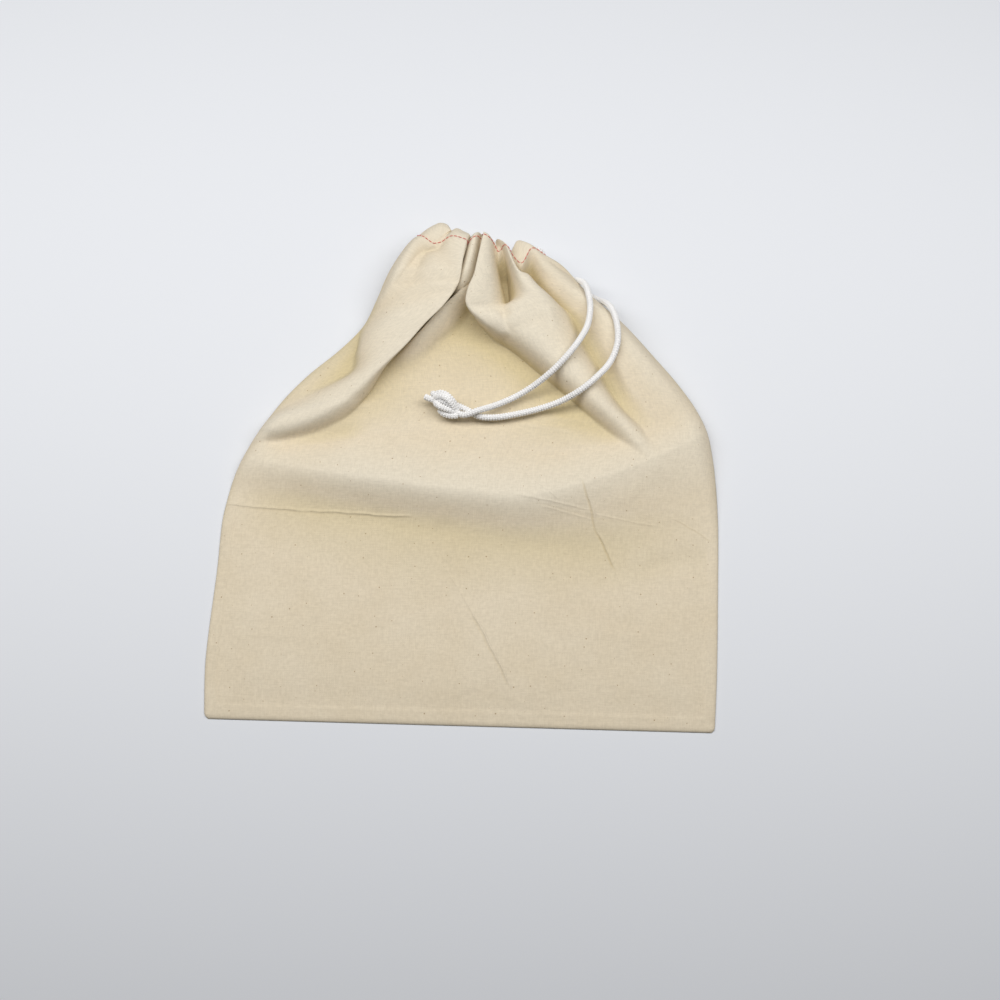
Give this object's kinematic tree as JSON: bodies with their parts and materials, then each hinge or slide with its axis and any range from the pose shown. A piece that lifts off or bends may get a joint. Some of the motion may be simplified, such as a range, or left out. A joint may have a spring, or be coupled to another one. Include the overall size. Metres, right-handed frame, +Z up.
{
  "type": "drawstring bag",
  "caption": "Cotton drawstring bag lying flat and empty, its gathered mouth drawn shut by a white cord whose ends leave at the right seam, cross the front and meet in a knot",
  "frame": {"origin": "the point on the table under the middle of the cloth's bounding box; the bag rests on z = 0", "axes": "+X across the bag to its right seam, where the cord comes out; +Y from the bottom seam to the mouth; +Z up, off the table, through the front"},
  "size_m": [0.3072, 0.3144, 0.0338],
  "materials": {
    "cotton_cloth": "undyed plain-weave cotton, matt, softly creased",
    "knitted_cord": "white knitted cotton cord, matt"
  },
  "bodies": {
    "root": {"back_panel": "cotton_cloth", "front_panel": "cotton_cloth", "hem_casing": "cotton_cloth", "drawcord_in_hem": "knitted_cord", "drawcord_strand_upper": "knitted_cord", "drawcord_strand_lower": "knitted_cord", "cord_knot": "knitted_cord", "cord_tail_upper": "knitted_cord", "cord_tail_lower": "knitted_cord"}
  },
  "joints": []
}
